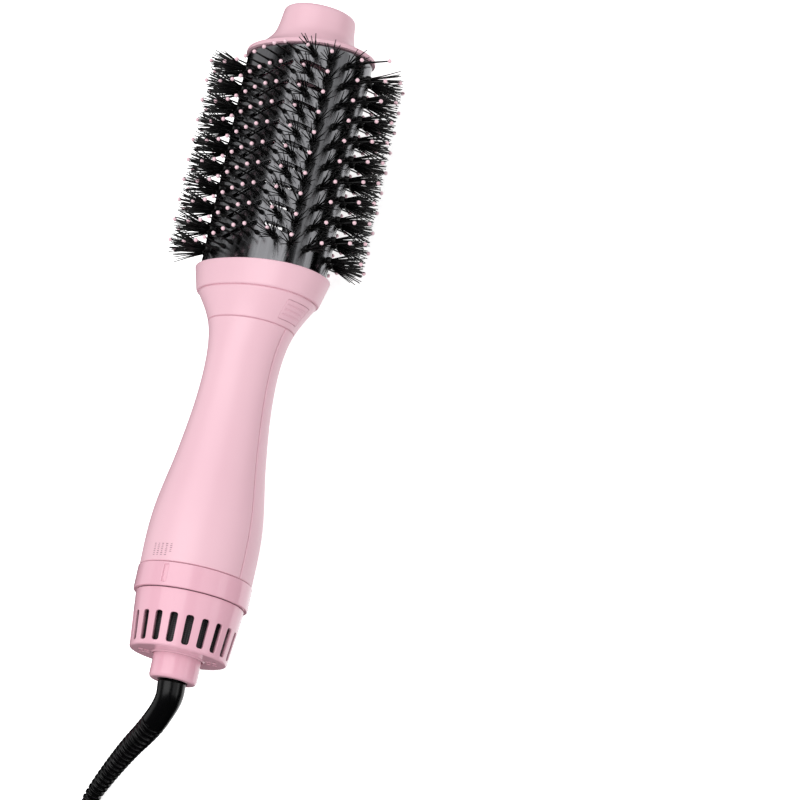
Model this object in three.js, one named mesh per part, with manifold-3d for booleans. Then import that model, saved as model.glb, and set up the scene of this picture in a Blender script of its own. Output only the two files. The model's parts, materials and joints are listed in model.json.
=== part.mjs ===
// Hot air brush with an oval bristle head, lying on a table on its wide face.
// Millimetres. The brush is built along +Y from its tail (near station 0) to the tip of its cap,
// with the wide axis of the oval head along X and its wide face up, +Z. It is then raised a little
// towards the head, until its lower bristles and the band at its tail stand on the table.

import * as THREE from 'three';
import { mergeVertices } from 'three/addons/utils/BufferGeometryUtils.js';
import Module from 'manifold-3d';

const wasm = await Module();
wasm.setup();

// ---- Driving dimensions ----

const GAP = 0.3; // between neighbouring pieces
const WALL = 2.2; // casing wall

const BOSS_END = 1.2; // stations along the brush
const GRILLE_END = 12.4;
const GRILLE_TOP = 38;
const BAND_TOP = 49.2;
const SHELL_TOP = 166.4;
const NECK_TOP = 180;
const COLLAR_TOP = 191.6;
const HEAD_SEAT = 189.6; // the ledge in the collar that the head drops on to
const BARREL_TOP = 295.7;
const CAP_TOP = 318.2;

const BOSS_RADIUS = 10.75;
const BAND_RADIUS = 25.8;
const SPIGOT_RADIUS = 22.6; // the casing's tail, under the band and the grille
const BARREL_WIDE = 32; // half widths of the oval barrel
const BARREL_THIN = 22;
const BARREL_WALL = 1.2;
const COLLAR_WIDE = 34.2; // half widths of the collar at its barrel end
const COLLAR_THIN = 24.2;
const CAP_LIP = 1.1; // the cap stands this far outside the barrel
const CAP_TOP_RADIUS = 16.5;

const ROWS = 10; // bristle rows
const ROW_PITCH = 9.7;
const FIRST_ROW = 200.6;
const WAVE_HEIGHT = 3.6; // the rows and slots swing up and down this far across the wide face
const WAVE_LENGTH = 52;
const PIN_PITCH = 4.55; // along the surface of the oval, either side of its middle
const PIN_COLUMNS = 3; // in each quarter of the oval
const FIRST_TUFT = 20; // along the surface too
const TUFT_PITCH = 7.8;
const TUFT_COLUMNS = 3;
const PIN_LENGTH = 13;
const SIDE_PIN_LENGTH = 17.5; // of the pins at the narrow sides, half way between two rows
const TUFT_LENGTH = 16.3;
const SLOT_WIDTH = 2.1;

const GRILLE_SLOTS = 20;
const HANDLE_TURN = 3.4; // degrees that the casing's halves and its grille are turned by
const HEAD_SIDES = 24; // facets round the oval pieces
const SELECTOR_START = 12.5; // degrees from the top of the band to its marker, towards +X
const FINGER_RADIUS = 19.5; // of the band's inner finger, where it drives the switch

const CORD_RADIUS = 3.1;
const SLEEVE_ROOT_RADIUS = 6.2;
const SLEEVE_TIP_RADIUS = 3.7;
const COIL_CENTRE = [-24, -114];
const COIL_INNER_RADIUS = 26.3; // of the innermost turn's centreline

// ---- Materials ----

const material = (color, roughness, metalness = 0) =>
  new THREE.MeshStandardMaterial({ color, roughness, metalness });
const PINK_SATIN = material(0xf0c4d4, 0.38);
const PINK_GLOSS = material(0xeeb8cc, 0.2);
const PINK_BUTTON = material(0xecbccd, 0.4);
const BLACK_GLOSS = material(0x1b1b1d, 0.15, 0.6);
const BLACK_NYLON = material(0x0c0c0d, 0.45);
const BLACK_PLASTIC = material(0x1c1c1e, 0.5);
const BLACK_RUBBER = material(0x111112, 0.6);
const MESH_BLACK = material(0x141416, 0.7);
const STEEL = material(0xb9bcc0, 0.3, 1);
const BRASS = material(0xc9a552, 0.35, 1);
const MICA = material(0xb79c6c, 0.7);
const NICHROME = material(0x8a8078, 0.45, 1);
const BOARD_GREEN = material(0x2c6b3e, 0.6);
const CREAM_PLASTIC = material(0xe8e2d2, 0.5);

// ---- Solids ----

// three.js geometry as a manifold solid, its shared corners merged and its faces turned out.
function manifold(geometry) {
  const bare = geometry.clone();
  bare.deleteAttribute('normal');
  bare.deleteAttribute('uv');
  const merged = mergeVertices(bare, 1e-3);
  const corners = merged.attributes.position.array;
  const faces = [];
  for (let i = 0; i < merged.index.count; i += 3) {
    const [a, b, c] = merged.index.array.slice(i, i + 3);
    if (a !== b && b !== c && c !== a) faces.push([a, b, c]);
  }
  const point = (index) => new THREE.Vector3().fromArray(corners, 3 * index);
  const volume = faces.reduce(
    (sum, [a, b, c]) => sum + point(a).dot(point(b).cross(point(c))), 0);
  const turned = volume < 0 ? faces.map(([a, b, c]) => [a, c, b]) : faces;
  return new wasm.Manifold(new wasm.Mesh({
    numProp: 3,
    vertProperties: Float32Array.from(corners),
    triVerts: Uint32Array.from(turned.flat()),
  }));
}

function geometry(solid) {
  const { vertProperties, triVerts } = solid.getMesh();
  const result = new THREE.BufferGeometry();
  result.setAttribute('position', new THREE.BufferAttribute(vertProperties, 3));
  result.setIndex(new THREE.BufferAttribute(triVerts, 1));
  result.computeVertexNormals();
  return result;
}

function piece(name, solid, finish) {
  const mesh = new THREE.Mesh(geometry(solid), finish);
  mesh.name = name;
  return mesh;
}

const join = (first, ...others) => others.reduce((sum, other) => sum.add(other), first);
const cut = (first, ...others) => others.reduce((rest, other) => rest.subtract(other), first);

// A point on an oval that squares up a little as it flattens.
function ovalPoint(wide, thin, turn) {
  const power = 2 / (2 + 0.65 * (1 - thin / wide));
  const [c, s] = [Math.cos(turn), Math.sin(turn)];
  return [
    wide * Math.sign(c) * Math.abs(c) ** power,
    thin * Math.sign(s) * Math.abs(s) ** power,
  ];
}

// A lathed profile of [station, half width, half thickness], squeezed from round to oval.
function lathe(profile, sides = 24) {
  const outline = profile.map(([station, wide]) => new THREE.Vector2(wide, station));
  const shape = new THREE.LatheGeometry(outline, sides);
  const corners = shape.attributes.position;
  for (let index = 0; index < corners.count; index++) {
    const [station, wide, thin = wide] = profile[index % profile.length];
    const turn = Math.PI / 2 - (2 * Math.PI * Math.floor(index / profile.length)) / sides;
    const [x, z] = wide ? ovalPoint(wide, thin, turn) : [0, 0];
    corners.setXYZ(index, x, station, z);
  }
  return manifold(shape);
}

// A lathed tube: its outer profile, and its inner one, both from the tail up.
const tube = (outer, inner, sides) =>
  lathe([...outer, ...inner.toReversed(), outer[0]], sides);
const ring = (inner, outer, from, to, sides) =>
  tube([[from, outer], [to, outer]], [[from, inner], [to, inner]], sides);
const rod = (radius, from, to, sides) =>
  lathe([[from, 0], [from, radius], [to, radius], [to, 0]], sides);

function box(width, length, height, x, y, z) {
  return manifold(new THREE.BoxGeometry(width, length, height).translate(x, y, z));
}

function post(radius, low, high, x, y, sides = 8) {
  const shape = new THREE.CylinderGeometry(radius, radius, high - low, sides);
  return manifold(shape.rotateX(Math.PI / 2).translate(x, y, (low + high) / 2));
}

// Turned about the brush's axis, in degrees from +Z towards +X.
const turned = (solid, degrees) => solid.rotate([0, degrees, 0]);

// ---- The casing's outline: half width and half thickness at each station ----

const CASING = [
  [49.5, 25.4, 25.4],
  [75, 24.9, 24.9],
  [105, 20.1, 20.1],
  [131, 17.15, 17.15],
  [152, 17.1, 16.9],
  [166.4, 20.7, 18.2],
  [180, 29.8, 22],
];
const casingLine = new THREE.CubicInterpolant(
  CASING.map(([station]) => station), CASING.flatMap(([, wide, thin]) => [wide, thin]), 2);

function casingAt(station, inset = 0) {
  const [wide, thin] = casingLine.evaluate(station);
  return [station, wide - inset, thin - inset];
}

// ---- Handle casing ----

const SHELL_STATIONS = [BAND_TOP + GAP, 66, 80, 92, 104, 116, 131, 150, 159];
const SCREW_X = 19.2;
const SCREW_STATION = 55.8;
const SPIGOT_END = 31.3;

function casingTube() {
  const stations = [...SHELL_STATIONS, SHELL_TOP - GAP];
  const outer = [
    [SPIGOT_END, SPIGOT_RADIUS],
    [BAND_TOP + GAP, SPIGOT_RADIUS],
    ...stations.map((station) => casingAt(station)),
  ];
  const inner = [
    [SPIGOT_END, SPIGOT_RADIUS - 1.8],
    [BAND_TOP + 1.5, SPIGOT_RADIUS - 1.8],
    ...stations.filter((station, index) => index % 2).map((station) => casingAt(station, WALL)),
    casingAt(SHELL_TOP - GAP, WALL),
  ];
  const body = tube(outer, inner, 20);
  const filled = lathe([[SPIGOT_END, 0], ...outer, [SHELL_TOP - GAP, 0]], 20);
  return { body, filled };
}

// The casing's two halves meet close to the plane z = 0, at the narrow sides of the head.
function handleShell(side) {
  const { body, filled } = casingTube();
  const half = box(80, 160, 40, 0, 98, side * (20 + GAP / 2));
  const bosses = [-SCREW_X, SCREW_X].map((x) => {
    const [low, high] = side > 0 ? [0, 18] : [-24, 0];
    return turned(post(side > 0 ? 3.2 : 4.2, low, high, x, SCREW_STATION), HANDLE_TURN)
      .intersect(filled);
  });
  const shell = join(body, ...bosses).intersect(turned(half, HANDLE_TURN));
  const holes = [-SCREW_X, SCREW_X].flatMap((x) => side > 0
    ? [post(1.6, -1, 9, x, SCREW_STATION)]
    : [post(1.8, -30, 1, x, SCREW_STATION), post(3.1, -30, -9, x, SCREW_STATION)]);
  return cut(shell, ...holes.map((hole) => turned(hole, HANDLE_TURN)));
}

// The window in the casing's tail that the band's finger reaches through.
function selectorWindow() {
  return box(14, 8, 12, 0, 44, 22);
}

function handleScrew(x) {
  const screw = join(
    post(1.3, -9.5, 7, x, SCREW_STATION, 6),
    post(2.7, -11, -9 - GAP, x, SCREW_STATION, 8),
  );
  return turned(screw, HANDLE_TURN);
}

function neckRing() {
  const inset = 2.5;
  const outer = [
    casingAt(159, inset),
    casingAt(SHELL_TOP, inset),
    casingAt(SHELL_TOP),
    casingAt(171),
    casingAt(175.5),
    casingAt(NECK_TOP - GAP),
  ];
  const inner = [
    casingAt(159, inset + 1.4),
    casingAt(SHELL_TOP, inset + 1.4),
    casingAt(171, WALL),
    casingAt(NECK_TOP - GAP, WALL),
  ];
  const body = tube(outer, inner, 20);
  const windows = [-1, 1].map((side) => box(28, 9.6, 15.6, side * 28, 173, 0));
  return cut(body, ...windows);
}

// The grip plate of a head release, let into a window of the neck ring, with a stem behind it.
function releaseButton(side) {
  const outer = [casingAt(168.6), casingAt(171), casingAt(175.5), casingAt(177.4)];
  const inner = outer.map(([station, wide, thin]) => [station, wide - 2.4, thin - 2.4]);
  const plate = tube(outer, inner, 20).intersect(box(30, 30, 15, side * 30, 173, 0));
  const grooves = [170.6, 173, 175.4].map((station) => {
    const [, wide] = casingAt(station);
    return box(1.4, 0.8, 9, side * (wide + 0.1), station, 0);
  });
  const stem = box(3.4, 4, 6, side * 20.8, 173.4, 0);
  return cut(join(plate, stem), ...grooves);
}

// A bent leaf that pushes its release back out, clear of the stem until the stem is pressed.
function releaseSpring(side) {
  const leaf = new THREE.Shape([
    [0, -5], [0.5, -5], [1.6, 0], [0.5, 5], [0, 5], [1, 0],
  ].map(([x, y]) => new THREE.Vector2(side * (15.1 + x), y)));
  const depth = 4;
  const shape = new THREE.ExtrudeGeometry(leaf, { depth, bevelEnabled: false });
  return manifold(shape.translate(0, 173.4, -depth / 2));
}

function collar() {
  const [wide, thin] = [COLLAR_WIDE, COLLAR_THIN];
  const outer = [
    [NECK_TOP, 30, 22.1],
    [NECK_TOP + 0.4, 30.7, 22.7],
    [NECK_TOP + 1.5, 31.2, 23],
    [COLLAR_TOP - 0.6, wide, thin],
    [COLLAR_TOP, wide - 0.5, thin - 0.5],
  ];
  const inner = [
    [NECK_TOP, 26.2, 19],
    [HEAD_SEAT, 26.2, 19],
    [HEAD_SEAT, wide - 1.5, thin - 1.5],
    [COLLAR_TOP, wide - 1.5, thin - 1.5],
  ];
  return tube(outer, inner, HEAD_SIDES);
}

// ---- Tail: boss, grille, filter and cord swivel ----

function tailBoss() {
  const outer = [
    [BOSS_END, BOSS_RADIUS - 1.4], [BOSS_END + 0.6, BOSS_RADIUS - 0.4],
    [BOSS_END + 2, BOSS_RADIUS], [19, BOSS_RADIUS], [19, 15], [20.6, 15],
  ];
  const inner = [
    [BOSS_END, 6.8], [BOSS_END + 4.5, 6.8], [BOSS_END + 4.5, 9.3], [20.6, 9.3],
  ];
  return tube(outer, inner, 16);
}

function intakeGrille() {
  const outer = [
    [GRILLE_END, BOSS_RADIUS + GAP], [GRILLE_END, 18.8], [GRILLE_END + 0.6, 20.6],
    [GRILLE_END + 1.8, 21.9], [27.4, 23.4], [GRILLE_TOP, 24.4],
  ];
  const inner = [
    [GRILLE_END + 1.4, BOSS_RADIUS + GAP], [GRILLE_END + 1.4, 18],
    [GRILLE_END + 2.4, 20.2], [27.4, 21.7], [30.8, 22.9], [GRILLE_TOP, 22.9],
  ];
  const half = 180 / GRILLE_SLOTS;
  const slots = Array.from({ length: GRILLE_SLOTS }, (_, index) =>
    turned(box(3.4, 13.1, 8, 0, 20.85, 22), half * (2 * index + 1)));
  const endHoles = [13, 15, 33, 35].flatMap((place) => [13.7, 16.3].map((radius) =>
    turned(box(2.2, 4, 1.9, 0, GRILLE_END, radius), half * place)));
  return turned(cut(tube(outer, inner, GRILLE_SLOTS), ...slots, ...endHoles), HANDLE_TURN);
}

const intakeFilter = () => ring(18.7, 19.3, GRILLE_END + 2.8, 30.6, 20);

function swivelBush() {
  const low = BOSS_END + 0.5;
  const outer = [[low, 6.4], [low + 4.3, 6.4], [low + 4.3, 8.9], [low + 6.1, 8.9]];
  return tube(outer, [[low, 3.6], [low + 6.1, 3.6]], 16);
}

const swivelRetainer = () => ring(4, 8.9, BOSS_END + 7, BOSS_END + 8.6, 16);

// ---- Selector band and its switch ----

function selectorBand() {
  const outer = [
    [GRILLE_TOP + GAP, BAND_RADIUS - 0.5], [GRILLE_TOP + 0.8, BAND_RADIUS],
    [BAND_TOP - 0.5, BAND_RADIUS], [BAND_TOP, BAND_RADIUS - 0.5],
  ];
  const inner = [[GRILLE_TOP + GAP, 22.95], [BAND_TOP, 22.95]];
  const marker = turned(box(1.8, 7.8, 1.6, 0, 43.6, BAND_RADIUS), SELECTOR_START);
  const finger = turned(box(2, 4, 6, 0, 44, 20.6), SELECTOR_START);
  return join(cut(tube(outer, inner), marker), finger);
}

const switchBody = () => box(18, 7.4, 6, 0, 44, 12.5);

// A slider with a fork round the band's finger.
function switchLever() {
  const x = FINGER_RADIUS * Math.sin(THREE.MathUtils.degToRad(SELECTOR_START));
  const base = box(6.2, 5, 0.7, x, 44, 16.15);
  const prongs = [-1, 1].map((side) => box(1.2, 5, 2.6, x + side * 2.4, 44, 17.4));
  return join(base, ...prongs);
}

// ---- Fan and motor ----

const FAN_STATION = 68;

function fanDuct() {
  const duct = ring(20.2, 21.1, 62, 76, 20);
  const cup = ring(12.5, 13.6, 72.6, 84, 16);
  const vanes = [0, 72, 144, 216, 288].map((angle) => turned(box(1.2, 3, 8, 0, 74.3, 17), angle));
  return join(duct, cup, ...vanes);
}

const motorBody = () => join(rod(12.1, 74.6, 110, 16), rod(4, 110, 112.5, 12));
const motorShaft = () => rod(1, 63, 74.2, 8);

function impeller() {
  const hub = ring(1.4, 7, FAN_STATION - 4, FAN_STATION + 4, 14);
  const blade = box(0.9, 7.5, 13.4, 0, FAN_STATION, 12.8);
  const blades = Array.from({ length: 7 }, (_, index) => turned(blade, (360 / 7) * index));
  return join(hub, ...blades);
}

const motorMount = () => {
  const spokes = [0, 120, 240].map((angle) => turned(box(3, 4, 4, 0, 106, 14.1), angle));
  return join(ring(12.5, 13.4, 104, 108, 16), ...spokes).intersect(ring(0.1, 16.6, 100, 112, 24));
};

// ---- Heater and electrics ----

const HEATER_FROM = 118;
const HEATER_TO = 156;

const heatShield = () => ring(13.4, 13.9, HEATER_FROM - 2, HEATER_TO + 1.6, 20);
const heaterBoardWide = () =>
  box(22.6, HEATER_TO - HEATER_FROM, 0.8, 0, (HEATER_FROM + HEATER_TO) / 2, 0);
const heaterBoardCross = (side) =>
  box(0.8, HEATER_TO - HEATER_FROM, 10.5, 0, (HEATER_FROM + HEATER_TO) / 2, side * 6);

class Helix extends THREE.Curve {
  getPoint(t, target = new THREE.Vector3()) {
    const angle = 2 * Math.PI * 4 * t;
    const station = THREE.MathUtils.lerp(HEATER_FROM + 3, HEATER_TO - 10, t);
    return target.set(12.5 * Math.cos(angle), station, 12.5 * Math.sin(angle));
  }
}

function heatingCoil() {
  const wire = new THREE.Shape(
    [[0.5, 0], [0, 0.5], [-0.5, 0], [0, -0.5]].map(([x, y]) => new THREE.Vector2(x, y)));
  return manifold(new THREE.ExtrudeGeometry(wire, { steps: 40, extrudePath: new Helix() }));
}

const thermostat = () => box(7, 8, 3, 5.5, 150, 2.4);
const thermalFuse = () => rod(1.4, 145, 155, 8).translate([-6, 0, 2.4]);
const controlBoard = () => box(20, 9, 1.4, 0, 43.5, -3);
const ioniser = () => box(7, 14, 3, 0, 94, -15.8);

function outletNozzle() {
  const outer = [[167, 13.6], [178.4, 14.6]];
  const inner = [[167, 12.5], [178.4, 13.5]];
  return tube(outer, inner, 20);
}

// ---- Head ----

const rowStations = Array.from({ length: ROWS }, (_, row) => FIRST_ROW + ROW_PITCH * row);

// How far the rows and slots swing up or down at a distance x across the wide face.
const wave = (x) =>
  Math.abs(x) < WAVE_LENGTH / 2 ? WAVE_HEIGHT * Math.sin((2 * Math.PI * x) / WAVE_LENGTH) : 0;

// An air slot right through the barrel, from x to x along the wave, as a bent strip.
function airSlot(station, from, to, steps) {
  const along = Array.from({ length: steps + 1 }, (_, step) => from + ((to - from) * step) / steps);
  const edge = (side) => along.map((x) =>
    new THREE.Vector2(x, station + wave(x) + (side * SLOT_WIDTH) / 2));
  const strip = new THREE.Shape([...edge(-1), ...edge(1).toReversed()]);
  const shape = new THREE.ExtrudeGeometry(strip, { depth: 60, bevelEnabled: false });
  return manifold(shape.translate(0, 0, -30));
}

function barrel() {
  const from = HEAD_SEAT + GAP;
  const inner = [BARREL_WIDE - BARREL_WALL, BARREL_THIN - BARREL_WALL];
  const body = tube(
    [[from, BARREL_WIDE, BARREL_THIN], [BARREL_TOP, BARREL_WIDE, BARREL_THIN]],
    [[from, ...inner], [BARREL_TOP, ...inner]], HEAD_SIDES);
  const slots = rowStations.slice(0, -1).flatMap((row) => {
    const station = row + ROW_PITCH / 2;
    return [
      airSlot(station, -26.4, -13.3, 1),
      airSlot(station, -10, 10, 3),
      airSlot(station, 13.3, 26.4, 1),
    ];
  });
  return cut(body, ...slots);
}

// A point on the barrel's oval at a distance along its surface from the top, and the way out.
function surfaceAt(distance, wide, thin) {
  const steps = 400;
  let [x, z] = [0, thin];
  let walked = 0;
  for (let step = 1; step <= steps; step++) {
    const [nextX, nextZ] = ovalPoint(wide, thin, (Math.PI / 2) * (1 - step / steps));
    const stride = Math.hypot(nextX - x, nextZ - z);
    if (walked + stride >= distance) {
      return { x, z, out: new THREE.Vector2(z - nextZ, nextX - x).normalize() };
    }
    walked += stride;
    [x, z] = [nextX, nextZ];
  }
  return { x, z, out: new THREE.Vector2(1, 0) };
}

// The outline of one bristle in its row, from foot to foot: [along the surface, outwards].
const PIN_OUTLINE = [[-0.9, 0], [0, PIN_LENGTH], [0.9, 0]];
const TUFT_OUTLINE = [[-1, 0], [-2.9, TUFT_LENGTH], [2.9, TUFT_LENGTH], [1, 0]];

// The bristles in a quarter of a row: how far each stands along the surface, and its outline.
const BRISTLES = [
  ...Array.from({ length: PIN_COLUMNS }, (_, column) => [
    PIN_PITCH * (column + 0.5), PIN_OUTLINE,
  ]),
  ...Array.from({ length: TUFT_COLUMNS }, (_, column) => [
    FIRST_TUFT + TUFT_PITCH * column, TUFT_OUTLINE,
  ]),
];

// A whole row of bristles, joined at their feet by a thin hoop that lies on the barrel.
function bristleRow(station) {
  const hoop = 0.7;
  const [wide, thin] = [BARREL_WIDE + GAP, BARREL_THIN + GAP];
  const tufted = BRISTLES.flatMap(([distance, outline]) => {
    const foot = surfaceAt(distance, wide + hoop, thin + hoop);
    const along = new THREE.Vector2(foot.out.y, -foot.out.x);
    return outline.map(([side, rise]) => new THREE.Vector2(foot.x, foot.z)
      .addScaledVector(along, side).addScaledVector(foot.out, rise - (rise ? hoop : 0)));
  });
  const quarter = [...tufted, new THREE.Vector2(wide + hoop, 0.9)];
  const mirrored = (x, z) => quarter.map((point) => new THREE.Vector2(x * point.x, z * point.y));
  const tip = BARREL_WIDE + SIDE_PIN_LENGTH;
  const outline = [
    ...quarter, new THREE.Vector2(tip, 0), ...mirrored(1, -1).toReversed(),
    ...mirrored(-1, -1), new THREE.Vector2(-tip, 0), ...mirrored(-1, 1).toReversed(),
  ];
  const shape = new THREE.Shape(outline);
  const hole = Array.from({ length: HEAD_SIDES }, (_, index) =>
    new THREE.Vector2(...ovalPoint(wide, thin, Math.PI / 2 + (2 * Math.PI * index) / HEAD_SIDES)));
  shape.holes.push(new THREE.Path(hole));
  const thickness = 1.1;
  const flat = new THREE.ExtrudeGeometry(shape, { depth: thickness, bevelEnabled: false });
  const corners = flat.attributes.position;
  for (let index = 0; index < corners.count; index++) {
    const [x, z, depth] = [corners.getX(index), corners.getY(index), corners.getZ(index)];
    const swing = Math.abs(x) > BARREL_WIDE - 4
      ? (ROW_PITCH / 2) * THREE.MathUtils.clamp((6.3 - Math.abs(z)) / 5.4, 0, 1) : wave(x);
    corners.setXYZ(index, x, station + swing + depth - thickness / 2, z);
  }
  return manifold(flat);
}

// The head's foot: a spigot that drops through the collar, and a plug in the barrel's end.
function headBase() {
  const spigot = [25.6, 18.4];
  const plug = [BARREL_WIDE - BARREL_WALL - GAP, BARREL_THIN - BARREL_WALL - GAP];
  const seat = HEAD_SEAT + GAP;
  const outer = [[NECK_TOP - 1, ...spigot], [seat, ...spigot], [seat, ...plug], [196.5, ...plug]];
  const inner = [
    [NECK_TOP - 1, 24.2, 17], [seat + 1.5, 24.2, 17],
    [seat + 1.5, plug[0] - 1.5, plug[1] - 1.5], [196.5, plug[0] - 1.5, plug[1] - 1.5],
  ];
  return tube(outer, inner, HEAD_SIDES);
}

// The funnel in the barrel's foot that spreads the air to its slots.
function airGuide() {
  const outer = [[184.9, 23.8, 16.6], [192.4, 23.8, 16.6], [199, 27.6, 18]];
  const inner = outer.map(([station, wide, thin]) => [station, wide - 1.2, thin - 1.2]);
  return tube(outer, inner, HEAD_SIDES);
}

function endCap() {
  const [wide, thin] = [BARREL_WIDE + CAP_LIP, BARREL_THIN + CAP_LIP];
  const from = BARREL_TOP + GAP;
  const outer = [
    [from, wide - 0.4, thin - 0.4], [from + 0.8, wide, thin], [from + 1.9, wide - 0.5, thin - 0.5],
    [from + 3.6, 27.6, 20.8], [from + 6, 22.6, 19.2], [from + 10, 18.8, 17.8],
    [from + 17, 17.2, 17], [CAP_TOP - 1.4, CAP_TOP_RADIUS],
    [CAP_TOP - 0.3, CAP_TOP_RADIUS - 1.2], [CAP_TOP, CAP_TOP_RADIUS - 3], [CAP_TOP, 0],
  ];
  const plug = [BARREL_WIDE - BARREL_WALL - GAP, BARREL_THIN - BARREL_WALL - GAP];
  const inner = [
    [CAP_TOP - 2.4, 0], [CAP_TOP - 2.4, 12], [from + 10, 14, 14], [from - 5, plug[0] - 1.6, plug[1] - 1.6],
    [from - 5, ...plug], [from, ...plug],
  ];
  return lathe([...outer, ...inner, outer[0]], HEAD_SIDES);
}

// ---- Cord, in the table's frame, its y counted from the brush's station 0 ----

// Chosen by hand: the sleeve bends aside and down to the table, and the cord runs on to its coil.
const SLEEVE_ROUTE = [
  [0, 0.9, 23.94], [-0.6, -6.2, 22.8], [-6, -13.6, 20.5], [-13.6, -20, 17.7],
  [-25, -27.3, 13.6], [-36.4, -35.7, 9.2], [-46.4, -44.6, 5.4], [-50.8, -50.2, 3.95],
];
const LEAD_ROUTE = [
  [-51.05, -50.52, 3.87], [-55.6, -56.6, 3.3], [-61.2, -64.9, 3.15], [-66.3, -73.2, 3.15],
  [-70.6, -81.6, 3.15],
];
const PLUG_HEIGHT = 8.7; // of the plug's centre line above the table
const COIL_HEIGHT = 12.6;
const COIL_OUTER_RADIUS = 49.3; // of the outermost turn's centreline

const curveThrough = (points) => new THREE.CatmullRomCurve3(
  points.map((point) => new THREE.Vector3(...point)), false, 'centripetal');

// A lathed profile of [distance, radius], bent along a curve that never points straight up.
function bentRod(profile, curve, sides) {
  const outline = profile.map(([distance, radius]) => new THREE.Vector2(radius, distance));
  const shape = new THREE.LatheGeometry(outline, sides);
  const corners = shape.attributes.position;
  const up = new THREE.Vector3(0, 0, 1);
  for (let index = 0; index < corners.count; index++) {
    const t = Math.min(corners.getY(index) / curve.getLength(), 1);
    const tangent = curve.getTangentAt(t);
    const across = new THREE.Vector3().crossVectors(tangent, up).normalize();
    const place = curve.getPointAt(t)
      .addScaledVector(across, corners.getX(index))
      .addScaledVector(new THREE.Vector3().crossVectors(across, tangent), corners.getZ(index));
    corners.setXYZ(index, ...place.toArray());
  }
  return manifold(shape);
}

function cordSleeve() {
  const curve = curveThrough(SLEEVE_ROUTE);
  const length = curve.getLength();
  const steps = 12;
  const rings = Array.from({ length: steps + 1 }, (_, step) => {
    const t = step / steps;
    return [t * length, THREE.MathUtils.lerp(SLEEVE_ROOT_RADIUS, SLEEVE_TIP_RADIUS, t)];
  });
  return bentRod([[0, 0], ...rings, [length, 0]], curve, 8);
}

function cordTube(points, steps) {
  const sides = 8;
  const section = new THREE.Shape(Array.from({ length: sides }, (_, side) => {
    const turn = (2 * Math.PI * side) / sides;
    return new THREE.Vector2(CORD_RADIUS * Math.cos(turn), CORD_RADIUS * Math.sin(turn));
  }));
  return manifold(
    new THREE.ExtrudeGeometry(section, { steps, extrudePath: curveThrough(points) }));
}

// The outer shape of the wound cord: two layers of turns.
function cordCoil() {
  const outer = COIL_OUTER_RADIUS + CORD_RADIUS;
  const inner = COIL_INNER_RADIUS - CORD_RADIUS;
  const shape = ring(inner, outer, 0, COIL_HEIGHT, 28).rotate([90, 0, 0]);
  return shape.translate([COIL_CENTRE[0], COIL_CENTRE[1], 0]);
}

// The last of the cord leaves the upper layer of the coil and runs straight into the plug.
const PLUG_Y = COIL_CENTRE[1] - COIL_OUTER_RADIUS;
const TAIL_FROM = COIL_CENTRE[0] + 25;
const PLUG_FROM = COIL_CENTRE[0] + 33;

function plugBody() {
  const length = 34;
  const profile = [
    [0, 0], [0, 4.4, 4.2], [5, 5.2, 4.8], [12, 9.6, 7], [18, 12.6, 8.5],
    [length - 1, 13, 8.6], [length, 12.2, 8], [length, 0],
  ];
  return lathe(profile, 14).rotate([0, 0, -90]).translate([PLUG_FROM, PLUG_Y, PLUG_HEIGHT]);
}

const plugBlade = (side) => box(
  17, 1.5, 6.3, PLUG_FROM + 34 + GAP + 8.5, PLUG_Y + side * 6.35, PLUG_HEIGHT);

// ---- Assembly ----

const brush = new THREE.Group();
brush.add(
  piece('handle_top_shell', cut(handleShell(1), selectorWindow()), PINK_SATIN),
  piece('handle_bottom_shell', handleShell(-1), PINK_SATIN),
  piece('handle_screw_left', handleScrew(-SCREW_X), STEEL),
  piece('handle_screw_right', handleScrew(SCREW_X), STEEL),
  piece('neck_ring', neckRing(), PINK_SATIN),
  piece('head_collar', collar(), PINK_SATIN),
  piece('tail_boss', tailBoss(), PINK_GLOSS),
  piece('intake_grille', intakeGrille(), PINK_GLOSS),
  piece('intake_filter', intakeFilter(), MESH_BLACK),
  piece('swivel_retainer', swivelRetainer(), STEEL),
  piece('selector_band', selectorBand(), PINK_GLOSS),
  piece('switch_body', switchBody(), BLACK_PLASTIC),
  piece('switch_lever', switchLever(), CREAM_PLASTIC),
  piece('control_board', controlBoard(), BOARD_GREEN),
  piece('fan_duct', fanDuct(), BLACK_PLASTIC),
  piece('motor_body', motorBody(), STEEL),
  piece('motor_mount', motorMount(), BLACK_RUBBER),
  piece('motor_shaft', motorShaft(), STEEL),
  piece('fan_impeller', impeller(), CREAM_PLASTIC),
  piece('ioniser_module', ioniser(), BLACK_PLASTIC),
  piece('heat_shield', heatShield(), MICA),
  piece('heater_board_wide', heaterBoardWide(), MICA),
  piece('heater_board_upper', heaterBoardCross(1), MICA),
  piece('heater_board_lower', heaterBoardCross(-1), MICA),
  piece('heating_coil', heatingCoil(), NICHROME),
  piece('thermostat', thermostat(), CREAM_PLASTIC),
  piece('thermal_fuse', thermalFuse(), STEEL),
  piece('outlet_nozzle', outletNozzle(), BLACK_PLASTIC),
  piece('release_button_left', releaseButton(-1), PINK_BUTTON),
  piece('release_button_right', releaseButton(1), PINK_BUTTON),
  piece('release_spring_left', releaseSpring(-1), STEEL),
  piece('release_spring_right', releaseSpring(1), STEEL),
  piece('head_base', headBase(), PINK_SATIN),
  piece('barrel', barrel(), BLACK_GLOSS),
  piece('air_guide', airGuide(), BLACK_PLASTIC),
  piece('end_cap', endCap(), PINK_SATIN),
  piece('swivel_bush', swivelBush(), BLACK_PLASTIC),
);
rowStations.forEach((station, row) => {
  const number = String(row + 1).padStart(2, '0');
  brush.add(piece(`bristle_row_${number}`, bristleRow(station), BLACK_NYLON));
});

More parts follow.
